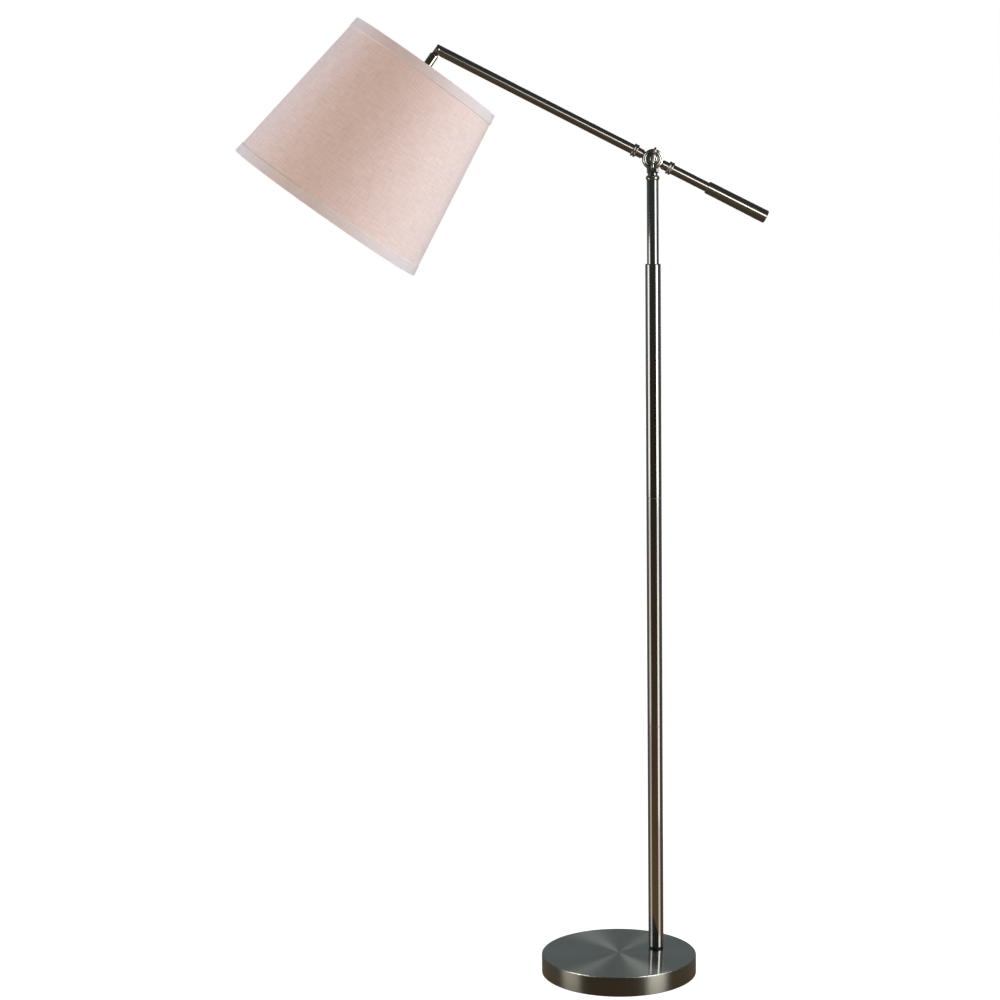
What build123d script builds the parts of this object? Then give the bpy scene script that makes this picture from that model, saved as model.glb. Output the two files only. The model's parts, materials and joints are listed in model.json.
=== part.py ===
from build123d import *
import os
from math import asin, cos, radians, sin, sqrt

# Pharmacy floor lamp with a balanced boom, in millimetres and degrees, +Z up.
# The origin is the centre of the base's underside. The boom lies in a plane along X, with its tip to -X.

# Fits shared by all pieces
fit = 0.05
face_gap = 0.05
loose_gap = 0.3

# Base
base_diameter = 254.0
base_height = 32.0
cover_wall = 1.2
cover_edge_radius = 2.0
cover_rim_lift = 1.0
pad_thickness = 2.5
weight_plate_thickness = 12.8
weight_ring_width = 17.5
weight_boss_diameter = 44.0
weight_boss_drop = 4.0
thread_diameter = 10.0
nipple_bore = 7.0
nipple_tail = 2.0
washer_diameter = 32.0
washer_thickness = 2.0
nut_across_flats = 17.0
nut_thickness = 5.0
cord_height = 11.0
cord_bore = 6.6
bushing_diameter = 10.0
bushing_flange_diameter = 14.0
bushing_flange_thickness = 2.0
bushing_tail = 3.0
bushing_barb = 0.5
cord_notch_width = 15.0
cord_notch_height = 16.0

# Pole of three tubes
pole_offset = 68.4
pole_bearing = 22.3
pole_diameter = 25.0
pole_wall = 1.2
pole_section = 376.0
foot_insert_height = 30.0
foot_flange = 3.0
foot_flange_recess = 0.8
joiner_flange = 1.2
joiner_flange_recess = 0.3
joiner_reach = 25.0
joiner_bore = 12.0

# Mast that slides and turns in the pole
mast_diameter = 19.0
mast_wall = 1.0
mast_show = 133.7
mast_hidden = 205.0
bush_length = 45.0
bush_lip = 1.0
bush_lip_margin = 0.3
grip_length = 35.0
grip_slit = 2.0

# Knuckle on the mast
spigot_length = 25.0
bead_diameter = 21.9
bead_length = 8.0
bead_peak_share = 0.45
waist_diameter = 15.4
waist_length = 2.4
neck_taper = 3.2
bridge_thickness = 3.2
tab_width = 17.6
tab_corner = 4.0
slot_gap = 0.6
cheek_diameter = 32.0
cheek_thickness = 4.5
cheek_ring_width = 3.4
cheek_ring_rise = 1.6
inner_ring_diameter = 17.6
inner_ring_width = 1.8
inner_ring_rise = 0.9
friction_washer_diameter = 27.0
friction_washer_thickness = 0.8
bolt_diameter = 6.0
bolt_head_diameter = 17.0
bolt_head_height = 4.5
bolt_slot_width = 1.6
bolt_slot_depth = 1.2
key_washer_diameter = 13.0
key_washer_thickness = 1.8
key_boss_diameter = 11.0
key_boss_height = 8.5
key_span = 37.0
key_lobe_diameter = 13.0
key_thickness = 3.2
key_edge_radius = 0.9
key_web = 9.0
key_lean = 10.0
key_thread_depth = 7.0

# Boom
boom_tilt = 27.4
boom_diameter = 16.0
boom_wall = 1.2
boom_reach = 381.4
tip_overhang = 4.0
eye_diameter = 31.2
eye_thickness = 12.9
core_diameter = 12.4
neck_start_gap = 0.8
neck_flare = 1.2
neck_diameter = 15.2
neck_length = 9.0
collar_diameter = 21.8
collar_step_diameter = 18.4
collar_length = 8.4
hub_spigot_length = 20.0
rear_show = 62.2
counterweight_length = 106.0
counterweight_inner_diameter = 20.5
counterweight_outer_diameter = 21.5
counterweight_edge = 1.0
counterweight_bore_depth = 25.0
tip_plug_length = 28.0
slot_back = 8.0
pin_diameter = 4.0
pin_head_diameter = 5.6
pin_head_height = 0.9

# Stem, nipple and shade fitter
shade_tilt = 35.9
tongue_thickness = 5.0
tongue_width = 10.0
tongue_side_gap = 0.2
stem_start = 9.6
stem_diameter = 14.2
stem_edge = 0.6
shade_drop = 33.0
fitter_recess = 13.0
fitter_washer_diameter = 36.0
fitter_washer_thickness = 2.0
wire_diameter = 3.2
spoke_count = 3
nipple_in_stem = 17.0
nipple_below_nut = 2.5
lock_nut_across_flats = 14.0
lock_nut_thickness = 4.0

# Shade
shade_top_diameter = 266.0
shade_bottom_diameter = 345.0
shade_height = 280.0
trim_band_height = 16.0
trim_thickness = 0.8
cover_cloth_thickness = 0.8
liner_thickness = 1.0
layer_gap = 0.15

# Lamp holder and bulb
holder_diameter = 33.0
holder_cap_wall = 1.0
holder_cap_height = 20.0
holder_shoulder = 8.0
holder_cap_top_diameter = 24.0
shell_wall = 0.8
shell_overlap = 8.0
shell_height = 44.0
shell_lip = 1.2
block_height = 21.0
sleeve_wall = 0.6
screw_shell_diameter = 28.4
screw_shell_wall = 0.6
screw_shell_height = 20.0
contact_diameter = 7.0
contact_height = 2.0
knob_drop = 12.0
knob_shaft_diameter = 4.0
knob_shaft_seat = 8.0
knob_neck_diameter = 7.2
knob_neck_show = 2.5
knob_diameter = 15.0
knob_length = 12.0
knob_flutes = 10
knob_flute_diameter = 2.4
bulb_cap_diameter = 26.2
bulb_cap_height = 23.0
bulb_tip_height = 3.0
bulb_diameter = 60.0
bulb_glass_height = 87.0
bulb_wall = 1.2
bulb_shoulder_angle = 20.0
bulb_belly_angle = -35.0

# Places that follow from the sizes
base_radius = base_diameter / 2
pole_radius = pole_diameter / 2
pole_bore = pole_radius - pole_wall
pole_top = base_height + 3 * pole_section
mast_radius = mast_diameter / 2
mast_bore = mast_radius - mast_wall
bead_low = pole_top + mast_show
eye_radius = eye_diameter / 2
slot_depth = eye_radius + slot_gap
neck_drop = slot_depth + bridge_thickness
waist_top = neck_drop + neck_taper
bead_top = waist_top + waist_length
hub_rise = bead_top + bead_length
hub_height = bead_low + hub_rise
cheek_in = eye_thickness / 2 + face_gap + friction_washer_thickness
cheek_out = cheek_in + cheek_thickness
key_seat = cheek_out + key_washer_thickness
boom_radius = boom_diameter / 2
boom_bore = boom_radius - boom_wall
neck_start = max(slot_depth, cheek_diameter / 2) + neck_start_gap
collar_start = neck_start + neck_flare + neck_length
collar_end = collar_start + collar_length
thread_radius = thread_diameter / 2
thread_hole = thread_radius + fit

# Frames: the base turned so that its pole and cord lie along X, the pole, the hub, the boom and the head
pole_point = Vector(pole_offset * cos(radians(pole_bearing)), pole_offset * sin(radians(pole_bearing)), 0)
hub_point = pole_point + Vector(0, 0, hub_height)
along_boom = Vector(-cos(radians(boom_tilt)), 0, sin(radians(boom_tilt)))
above_boom = Vector(sin(radians(boom_tilt)), 0, cos(radians(boom_tilt)))
pin_point = hub_point + along_boom * boom_reach
up_shade = Vector(sin(radians(shade_tilt)), 0, cos(radians(shade_tilt)))
across_shade = Vector(cos(radians(shade_tilt)), 0, -sin(radians(shade_tilt)))
base_frame = Rot(0, 0, pole_bearing)
pole_frame = Pos(pole_point)
hub_frame = Pos(hub_point)
pivot_frame = Plane(origin=hub_point, x_dir=(1, 0, 0), z_dir=(0, -1, 0))
boom_frame = Plane(origin=hub_point, x_dir=above_boom, z_dir=along_boom)
rear_frame = Plane(origin=hub_point, x_dir=above_boom, z_dir=-along_boom)
head_frame = Plane(origin=pin_point, x_dir=across_shade, z_dir=up_shade)


def rod(radius, low, high):
    """Round bar about Z between two heights."""
    return Pos(0, 0, low) * extrude(Circle(radius), high - low)


def tube(outer, inner, low, high):
    """Round tube about Z between two heights, given by its radii."""
    return Pos(0, 0, low) * extrude(Circle(outer) - Circle(inner), high - low)


def turned(*lines):
    """Solid turned about Z from the closed outline of the lines, drawn as radius and height."""
    edges = [edge for line in lines for edge in line.edges()]
    return revolve(Plane.XZ * make_face(edges), Axis.Z)


def turned_points(*points):
    """Solid turned about Z from a closed outline of straight lines."""
    return turned(Polyline(*points, close=True))


def dome(radius, seat, rise):
    """Round arc of a head, from its edge at a seat to its crown on the axis."""
    ball = (radius**2 + rise**2) / (2 * rise)
    half = asin(radius / abs(ball)) / 2
    middle = (abs(ball) * sin(half), seat + rise - ball * (1 - cos(half)))
    return ThreePointArc((radius, seat), middle, (0, seat + rise))


def hex_nut(across_flats, hole, low, high):
    """Hexagon nut about Z."""
    outline = RegularPolygon(across_flats / 2, 6, major_radius=False)
    return Pos(0, 0, low) * extrude(outline - Circle(hole), high - low)


# Base: cover, weight, pad, nipple with its washer and nut, and the cord's bushing
weight_top = base_height - cover_wall
weight_radius = base_radius - cover_wall - loose_gap
boss_low = weight_top - weight_plate_thickness - weight_boss_drop
washer_low = boss_low - washer_thickness
nut_low = washer_low - nut_thickness
nipple_low = nut_low - nipple_tail
over_pole = Pos(pole_offset, 0, 0)
cord_frame = Plane(origin=(0, 0, cord_height), x_dir=(0, 1, 0), z_dir=(1, 0, 0))
bushing_radius = bushing_diameter / 2


def base_cover():
    """Spun cover: flat top with an eased edge, straight side, open below."""
    eased = base_radius - cover_edge_radius
    corner = cover_edge_radius * sqrt(0.5)
    edge = ThreePointArc(
        (eased, base_height),
        (eased + corner, base_height - cover_edge_radius + corner),
        (base_radius, base_height - cover_edge_radius),
    )
    inside = base_radius - cover_wall
    rest = Polyline(
        (base_radius, base_height - cover_edge_radius),
        (base_radius, cover_rim_lift),
        (inside, cover_rim_lift),
        (inside, weight_top),
        (0, weight_top),
        (0, base_height),
        (eased, base_height),
    )
    cover = turned(edge, rest)
    cover -= over_pole * rod(thread_radius + loose_gap, 0, base_height + cover_wall)
    return cover - cord_frame * rod(bushing_radius + fit, base_radius / 2, base_radius + cover_wall)


def base_weight():
    """Cast weight: a plate on a deep ring, a boss at the pole and a notch for the cord."""
    weight = rod(weight_radius, weight_top - weight_plate_thickness, weight_top)
    weight += tube(weight_radius, weight_radius - weight_ring_width, pad_thickness, weight_top)
    weight += over_pole * rod(weight_boss_diameter / 2, boss_low, weight_top)
    weight -= over_pole * rod(thread_radius + loose_gap, 0, base_height)
    outward = (Align.MIN, Align.CENTER, Align.MIN)
    notch = Box(base_radius, cord_notch_width, cord_notch_height, align=outward)
    return weight - Pos(weight_radius - 2 * weight_ring_width, 0, pad_thickness) * notch


def cord_bushing():
    """Plastic bushing in the back of the cover: flange outside, barbed tail inside."""
    wall_inside = base_radius - cover_wall
    bushing = rod(bushing_radius, wall_inside - bushing_tail, base_radius)
    bushing += rod(
        bushing_flange_diameter / 2, base_radius, base_radius + bushing_flange_thickness
    )
    barb = turned_points(
        (0, wall_inside - bushing_tail),
        (bushing_radius, wall_inside - bushing_tail),
        (bushing_radius + bushing_barb, wall_inside - bushing_tail / 2),
        (0, wall_inside - bushing_tail / 2),
    )
    return bushing + barb - rod(cord_bore / 2, 0, 2 * base_radius)


def base_pieces():
    """Pieces of the base, by node."""
    nipple_top = base_height + foot_insert_height
    pad_radius = base_radius - cover_wall - loose_gap
    return {
        "base_cover": base_cover(),
        "base_weight": base_weight(),
        "base_pad": rod(pad_radius, 0, pad_thickness),
        "base_nipple": over_pole * tube(thread_radius, nipple_bore / 2, nipple_low, nipple_top),
        "base_washer": over_pole * tube(washer_diameter / 2, thread_hole, washer_low, boss_low),
        "base_nut": over_pole * hex_nut(nut_across_flats, thread_hole, nut_low, washer_low),
        "cord_bushing": cord_frame * cord_bushing(),
    }


# Pole: foot insert with a low flange under the tube, three tubes and two joiners whose flanges show as seams
def pole_joiner(seam):
    """Turned joiner with a thin flange between two tubes."""
    low = seam - joiner_flange / 2
    high = seam + joiner_flange / 2
    body = rod(pole_bore - fit, low - joiner_reach, high + joiner_reach)
    body += rod(pole_radius - joiner_flange_recess, low, high)
    return body - rod(joiner_bore / 2, low - 2 * joiner_reach, high + 2 * joiner_reach)


def pole_pieces():
    """Pieces of the pole, by node."""
    seams = [base_height + pole_section, base_height + 2 * pole_section]
    half = joiner_flange / 2
    insert_top = base_height + foot_insert_height
    foot_top = base_height + foot_flange
    insert = tube(pole_bore - fit, thread_hole, base_height, insert_top)
    insert += tube(pole_radius - foot_flange_recess, thread_hole, base_height, foot_top)
    return {
        "pole_foot_insert": insert,
        "pole_lower": tube(pole_radius, pole_bore, foot_top, seams[0] - half),
        "pole_joiner_lower": pole_joiner(seams[0]),
        "pole_middle": tube(pole_radius, pole_bore, seams[0] + half, seams[1] - half),
        "pole_joiner_upper": pole_joiner(seams[1]),
        "pole_upper": tube(pole_radius, pole_bore, seams[1] + half, pole_top),
    }


# Mast: sliding tube, its split grip sleeve, and the lipped bush that turns in the pole's end
def mast_pieces():
    """Pieces of the telescope, by node."""
    mast_low = pole_top - mast_hidden
    sleeve = tube(pole_bore - fit, mast_radius + fit, mast_low, mast_low + grip_length)
    slit = Box(pole_radius, grip_slit, grip_length, align=(Align.MIN, Align.CENTER, Align.MIN))
    bush = tube(pole_bore - fit, mast_radius + fit, pole_top - bush_length, pole_top)
    bush += tube(pole_radius - bush_lip_margin, mast_radius + fit, pole_top, pole_top + bush_lip)
    return {
        "swivel_bush": bush,
        "mast_tube": tube(mast_radius, mast_bore, mast_low, bead_low),
        "grip_sleeve": sleeve - Pos(0, 0, mast_low) * slit,
    }


# Knuckle: fork on the mast, pivot bolt, friction washers, key washer and wing key
def cheek_rings():
    """Front cheek about the pivot, with a round outer ring and a small inner ring on its face."""
    outer = cheek_diameter / 2
    outer_mid = outer - cheek_ring_width / 2
    outer_end = outer - cheek_ring_width
    inner = inner_ring_diameter / 2
    inner_mid = inner - inner_ring_width / 2
    inner_end = inner - inner_ring_width
    hole = bolt_diameter / 2 + fit
    outer_top = cheek_out + cheek_ring_rise
    inner_top = cheek_out + inner_ring_rise
    return turned(
        Polyline((hole, cheek_out), (hole, cheek_in), (outer, cheek_in), (outer, cheek_out)),
        ThreePointArc((outer, cheek_out), (outer_mid, outer_top), (outer_end, cheek_out)),
        Line((outer_end, cheek_out), (inner, cheek_out)),
        ThreePointArc((inner, cheek_out), (inner_mid, inner_top), (inner_end, cheek_out)),
        Line((inner_end, cheek_out), (hole, cheek_out)),
    )


def fork_neck():
    """Turned foot of the fork: waist, bead and the spigot that goes into the mast."""
    waist = waist_diameter / 2
    spigot = mast_bore - fit
    spigot_low = -hub_rise - spigot_length
    bead_mid = -bead_top - bead_length * bead_peak_share
    bead_foot = mast_radius + fit
    return turned(
        Polyline((0, -waist_top), (waist, -waist_top), (waist, -bead_top)),
        ThreePointArc((waist, -bead_top), (bead_diameter / 2, bead_mid), (bead_foot, -hub_rise)),
        Polyline((bead_foot, -hub_rise), (spigot, -hub_rise), (spigot, spigot_low), (0, spigot_low)),
        Line((0, spigot_low), (0, -waist_top)),
    )


def knuckle_fork():
    """Fork about the hub: two cheeks on a slotted tab that is coned down to the turned neck."""
    tab_top = -cheek_diameter / 4
    tab = extrude(RectangleRounded(tab_width, 2 * cheek_out, tab_corner), waist_top + tab_top)
    tab = Pos(0, 0, -waist_top) * tab
    wide = sqrt((tab_width / 2) ** 2 + cheek_out**2)
    cone = turned_points(
        (0, -waist_top), (waist_diameter / 2, -waist_top), (wide, -neck_drop), (wide, 0), (0, 0)
    )
    rear_cheek = tube(cheek_diameter / 2, bolt_diameter / 2 + fit, -cheek_out, -cheek_in)
    upward = (Align.CENTER, Align.CENTER, Align.MIN)
    slot = Box(2 * cheek_diameter, 2 * cheek_in, 2 * cheek_diameter, align=upward)
    cheeks = Plane.XZ * (cheek_rings() + rear_cheek)
    bolt_hole = Plane.XZ * rod(bolt_diameter / 2 + fit, -2 * cheek_out, 2 * cheek_out)
    return (tab & cone) + cheeks + fork_neck() - Pos(0, 0, -slot_depth) * slot - bolt_hole


def pivot_bolt():
    """Bolt along the pivot, with a slotted dome at the back and its end in the wing key."""
    head = bolt_head_diameter / 2
    shank = bolt_diameter / 2
    crown = -cheek_out - bolt_head_height
    bolt = turned(
        dome(head, -cheek_out, -bolt_head_height),
        Polyline(
            (0, crown),
            (0, key_seat + key_thread_depth),
            (shank, key_seat + key_thread_depth),
            (shank, -cheek_out),
            (head, -cheek_out),
        ),
    )
    slot = Box(bolt_head_diameter, bolt_slot_width, 2 * bolt_slot_depth)
    return bolt - Pos(0, 0, crown) * slot


def wing_key():
    """Wing key: a round boss with two flat lobes with eased edges, standing in front of the knuckle."""
    boss_top = key_seat + face_gap + key_boss_height
    boss = rod(key_boss_diameter / 2, key_seat + face_gap, boss_top)
    boss = fillet(boss.edges().group_by(Axis.Z)[-1], key_boss_diameter / 8)
    lobe = key_lobe_diameter / 2
    lobe_offset = key_span / 2 - lobe
    lobe_height = key_seat + key_thickness + lobe
    blade = Pos(0, lobe_height - lobe / 4) * Rectangle(2 * lobe_offset, key_web)
    for side in (-1, 1):
        blade += Pos(side * lobe_offset, lobe_height) * Circle(lobe)
    plate = Plane.YZ * extrude(blade, key_thickness / 2, both=True)
    faces = plate.edges().group_by(Axis.X)
    plate = fillet(faces[0] + faces[-1], key_edge_radius)
    key = boss + plate
    return key - rod(bolt_diameter / 2 + fit, key_seat, key_seat + key_thread_depth + loose_gap)


def knuckle_pieces():
    """Pieces about the pivot, by node, with Z towards the wing key."""
    washer_in = eye_thickness / 2 + face_gap
    ring = friction_washer_diameter / 2
    hole = bolt_diameter / 2 + fit
    washers = tube(ring, hole, washer_in, cheek_in) + tube(ring, hole, -cheek_in, -washer_in)
    return {
        "pivot_bolt": pivot_bolt(),
        "friction_washers": washers,
        "key_washer": tube(key_washer_diameter / 2, hole, cheek_out, key_seat),
        "wing_key": Rot(0, 0, -key_lean) * wing_key(),
    }


# Boom: hub with its eye and two collared necks, two tubes, counterweight, tip plug and hinge pin
def collar_side():
    """One side of the hub about the boom's axis: core, neck, two-bead collar and spigot."""
    core = core_diameter / 2
    neck = neck_diameter / 2
    step = collar_step_diameter / 2
    bead = collar_diameter / 2
    half = collar_length / 2
    groove = collar_start + half
    spigot = boom_bore - fit
    spigot_end = collar_end + hub_spigot_length
    neck_end = neck_start + neck_flare
    return turned(
        Polyline((0, 0), (core, 0), (core, neck_start), (neck, neck_end), (neck, collar_start)),
        Line((neck, collar_start), (step, collar_start)),
        ThreePointArc((step, collar_start), (bead, collar_start + half / 2), (step, groove)),
        ThreePointArc((step, groove), (bead, groove + half / 2), (step, collar_end)),
        Polyline((step, collar_end), (spigot, collar_end), (spigot, spigot_end), (0, spigot_end)),
        Line((0, spigot_end), (0, 0)),
    )


def boom_hub():
    """Eye about the pivot with a collared neck on each side."""
    eye = Plane.XZ * rod(eye_radius, -eye_thickness / 2, eye_thickness / 2)
    side = collar_side()
    hub = eye + side + Rot(0, 180, 0) * side
    return hub - Plane.XZ * rod(bolt_diameter / 2 + fit, -eye_thickness, eye_thickness)


def tongue_slot():
    """Space that the stem's tongue swings in, open below and at the tip."""
    width = tongue_thickness + 2 * tongue_side_gap
    top = tongue_width / 2 + loose_gap
    length = slot_back + 2 * tip_overhang
    space = Box(2 * boom_diameter, width, length, align=(Align.MAX, Align.CENTER, Align.MIN))
    return Pos(top, 0, boom_reach - slot_back) * space


def hinge_pin():
    """Riveted hinge pin across the tip, about its own axis."""
    shank = pin_diameter / 2
    head = pin_head_diameter / 2
    seat = boom_radius
    crown = seat + pin_head_height
    return turned(
        dome(head, seat, pin_head_height),
        Line((0, crown), (0, -crown)),
        dome(head, -seat, -pin_head_height),
        Polyline((head, -seat), (shank, -seat), (shank, seat), (head, seat)),
    )


def counterweight():
    """Slightly tapered bar over the rear tube's end, with eased edges."""
    near = collar_end + rear_show
    far = near + counterweight_length
    small = counterweight_inner_diameter / 2
    large = counterweight_outer_diameter / 2
    ease = counterweight_edge
    bar = turned_points(
        (0, near),
        (small - ease, near),
        (small, near + ease),
        (large, far - ease),
        (large - ease, far),
        (0, far),
    )
    return bar - rod(boom_radius + fit, near, near + counterweight_bore_depth)


def boom_pieces():
    """Pieces along the boom, by node, with Z towards the tip."""
    tip_end = boom_reach + tip_overhang
    across = Plane.XZ * rod(pin_diameter / 2 + fit, -boom_diameter, boom_diameter)
    pin_hole = Pos(0, 0, boom_reach) * across
    front = tube(boom_radius, boom_bore, collar_end, tip_end) - tongue_slot() - pin_hole
    plug = rod(boom_bore - fit, tip_end - tip_plug_length, tip_end) - tongue_slot() - pin_hole
    return {
        "boom_hub": boom_hub(),
        "boom_front_tube": front,
        "boom_tip_plug": plug,
        "hinge_pin": Pos(0, 0, boom_reach) * (Plane.XZ * hinge_pin()),
    }


def rear_pieces():
    """Pieces along the boom's rear end, by node, with Z away from the hub."""
    tube_end = collar_end + rear_show + counterweight_bore_depth
    return {
        "boom_rear_tube": tube(boom_radius, boom_bore, collar_end, tube_end),
        "counterweight": counterweight(),
    }


# Head: heights are measured up the shade's axis from the hinge pin, so pieces below it are negative
shade_high = -shade_drop
shade_low = shade_high - shade_height
washer_high = shade_high - fitter_recess
cap_high = washer_high - fitter_washer_thickness
cap_inside = cap_high - holder_cap_wall
lock_nut_low = cap_inside - lock_nut_thickness
head_nipple_low = lock_nut_low - nipple_below_nut
block_high = head_nipple_low - loose_gap
block_low = block_high - block_height
cap_low = cap_high - holder_cap_height
shell_high = cap_low + shell_overlap
shell_low = shell_high - shell_height
contact_low = block_low - contact_height
shell_radius = holder_diameter / 2
shell_bore = shell_radius - shell_wall
knob_height = cap_low - knob_drop + shell_overlap
cover_inset = trim_thickness + layer_gap
liner_inset = cover_inset + cover_cloth_thickness + layer_gap
lining_inset = liner_inset + liner_thickness
wire_radius = wire_diameter / 2
wire_inset = lining_inset + wire_radius + layer_gap
lip_inset = wire_inset + wire_radius
edge_drop = trim_thickness + layer_gap


def shade_radius(height):
    """Outer radius of the trimmed shade at a height on its axis."""
    share = (shade_high - height) / shade_height
    return (shade_top_diameter + share * (shade_bottom_diameter - shade_top_diameter)) / 2


def shade_wall(outer_inset, inner_inset, high, low):
    """Tapered wall of the shade between two heights, set in from its outside."""
    return turned_points(
        (shade_radius(high) - outer_inset, high),
        (shade_radius(low) - outer_inset, low),
        (shade_radius(low) - inner_inset, low),
        (shade_radius(high) - inner_inset, high),
    )


def head_stem():
    """Stem with a flat tongue on the hinge pin and a threaded socket below."""
    tongue = Circle(tongue_width / 2)
    tongue += Pos(0, -stem_start / 2) * Rectangle(tongue_width, stem_start)
    tongue -= Circle(pin_diameter / 2 + fit)
    leaf = Plane.XZ * extrude(tongue, tongue_thickness / 2, both=True)
    body = rod(stem_diameter / 2, washer_high, -stem_start)
    body = chamfer(body.edges().group_by(Axis.Z)[-1], stem_edge)
    return leaf + body - rod(thread_hole, washer_high, washer_high + nipple_in_stem)


def shade_fitter():
    """Welded fitter: washer on the nipple, three spokes and the shade's top ring."""
    ring_height = shade_high - edge_drop - wire_radius
    ring_radius = shade_radius(ring_height) - wire_inset
    spoke_start = Vector(fitter_washer_diameter / 2 - wire_diameter, 0, washer_high - wire_radius)
    spoke = Vector(ring_radius, 0, ring_height) - spoke_start
    bar = Plane(origin=spoke_start, x_dir=(0, 1, 0), z_dir=spoke) * rod(wire_radius, 0, spoke.length)
    fitter = tube(fitter_washer_diameter / 2, thread_hole, cap_high, washer_high)
    fitter += Pos(0, 0, ring_height) * Torus(ring_radius, wire_radius)
    for turn in range(spoke_count):
        fitter += Rot(0, 0, turn * 360 / spoke_count) * bar
    stem_seat = rod(stem_diameter, washer_high, washer_high + wire_diameter)
    return fitter - stem_seat - rod(holder_cap_top_diameter, cap_high - wire_diameter, cap_high)


def shade_trim(edge, inward):
    """Folded band at one edge of the shade: outer band and a lip that covers the edge and its wire."""
    band = shade_wall(0, trim_thickness, edge, edge + inward * trim_band_height)
    return band + shade_wall(0, lip_inset, edge, edge + inward * trim_thickness)


def shade_pieces():
    """Pieces of the shade, by node."""
    high = shade_high - edge_drop
    low = shade_low + edge_drop
    ring_height = low + wire_radius
    bottom_ring = Torus(shade_radius(ring_height) - wire_inset, wire_radius)
    return {
        "shade_fitter": shade_fitter(),
        "shade_bottom_ring": Pos(0, 0, ring_height) * bottom_ring,
        "shade_liner": shade_wall(liner_inset, lining_inset, high, low),
        "shade_cover": shade_wall(cover_inset, cover_inset + cover_cloth_thickness, high, low),
        "shade_top_trim": shade_trim(shade_high, -1),
        "shade_bottom_trim": shade_trim(shade_low, 1),
    }


def holder_cap():
    """Spun cap of the lamp holder, with a rounded shoulder, clamped under the fitter."""
    outer = shell_radius + fit + holder_cap_wall
    inner = shell_radius + fit
    top = holder_cap_top_diameter / 2
    turn = sqrt(0.5)
    shoulder = ThreePointArc(
        (top, cap_high),
        (top + (outer - top) * turn, cap_high - holder_shoulder * (1 - turn)),
        (outer, cap_high - holder_shoulder),
    )
    under = ThreePointArc(
        (inner, cap_high - holder_shoulder),
        (
            top - holder_cap_wall + (inner - top + holder_cap_wall) * turn,
            cap_inside - (holder_shoulder - holder_cap_wall) * (1 - turn),
        ),
        (top - holder_cap_wall, cap_inside),
    )
    return turned(
        shoulder,
        Polyline((outer, cap_high - holder_shoulder), (outer, cap_low), (inner, cap_low)),
        Line((inner, cap_low), (inner, cap_high - holder_shoulder)),
        under,
        Polyline(
            (top - holder_cap_wall, cap_inside),
            (thread_hole, cap_inside),
            (thread_hole, cap_high),
            (top, cap_high),
        ),
    )


def knob_space(radius, start):
    """Round bar along the switch's axis, from a distance off the holder's axis outwards."""
    along = Plane(origin=(0, 0, knob_height), x_dir=(0, 1, 0), z_dir=(1, 0, 0))
    return along * rod(radius, start, holder_diameter)


def holder_shell():
    """Tubular shell with an inward lip at its mouth and a hole for the switch."""
    shell = tube(shell_radius, shell_bore, shell_low, shell_high)
    shell += tube(shell_radius, shell_bore - shell_lip, shell_low, shell_low + shell_lip)
    return shell - knob_space(knob_neck_diameter / 2 + fit, 0)


def switch_block():
    """Moulded block with the switch, whose neck comes out through the shell."""
    neck_end = shell_radius + knob_neck_show
    block = rod(shell_bore - fit, block_low, block_high)
    along = Plane(origin=(0, 0, knob_height), x_dir=(0, 1, 0), z_dir=(1, 0, 0))
    block += along * rod(knob_neck_diameter / 2, 0, neck_end)
    return block - knob_space(knob_shaft_diameter / 2 + fit, knob_shaft_seat)


def switch_knob():
    """Fluted turn knob on its shaft, about the switch's axis."""
    start = shell_radius + knob_neck_show + loose_gap
    end = start + knob_length
    grip = Circle(knob_diameter / 2)
    for flute in range(knob_flutes):
        turn = Rot(0, 0, flute * 360 / knob_flutes)
        grip -= turn * Pos(knob_diameter / 2, 0) * Circle(knob_flute_diameter / 2)
    knob = Pos(0, 0, start) * extrude(grip, knob_length)
    knob += rod(knob_shaft_diameter / 2, knob_shaft_seat + loose_gap, end)
    return Plane(origin=(0, 0, knob_height), x_dir=(0, 1, 0), z_dir=(1, 0, 0)) * knob


def bulb_outline(inset, low):
    """Bulb shape about Z, drawn in by a wall: a globe that narrows to a neck at its cap."""
    neck = bulb_cap_diameter / 2 - bulb_wall / 2 - inset
    globe = bulb_diameter / 2
    centre = low - bulb_glass_height + globe
    reach = globe - inset
    high = radians(bulb_shoulder_angle)
    belly = radians(bulb_belly_angle)
    shoulder = (reach * cos(high), centre + reach * sin(high))
    flow = Spline((neck, low), shoulder, tangents=((0, -1), (sin(high), -cos(high))))
    belly_point = (reach * cos(belly), centre + reach * sin(belly))
    lower = ThreePointArc(shoulder, belly_point, (0, centre - reach))
    return turned(flow, lower, Polyline((0, centre - reach), (0, low), (neck, low)))


def bulb_pieces():
    """Pieces of the bulb, by node: cap with its tip on the contact, and opal glass."""
    cap = bulb_cap_diameter / 2
    tip = contact_diameter / 2
    cap_start = contact_low - bulb_tip_height
    cap_end = contact_low - bulb_cap_height
    bulb_cap = turned_points(
        (0, contact_low), (tip, contact_low), (cap, cap_start), (cap, cap_end), (0, cap_end)
    )
    return {
        "bulb_cap": bulb_cap,
        "bulb_glass": bulb_outline(0, cap_end) - bulb_outline(bulb_wall, cap_end),
    }


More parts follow.
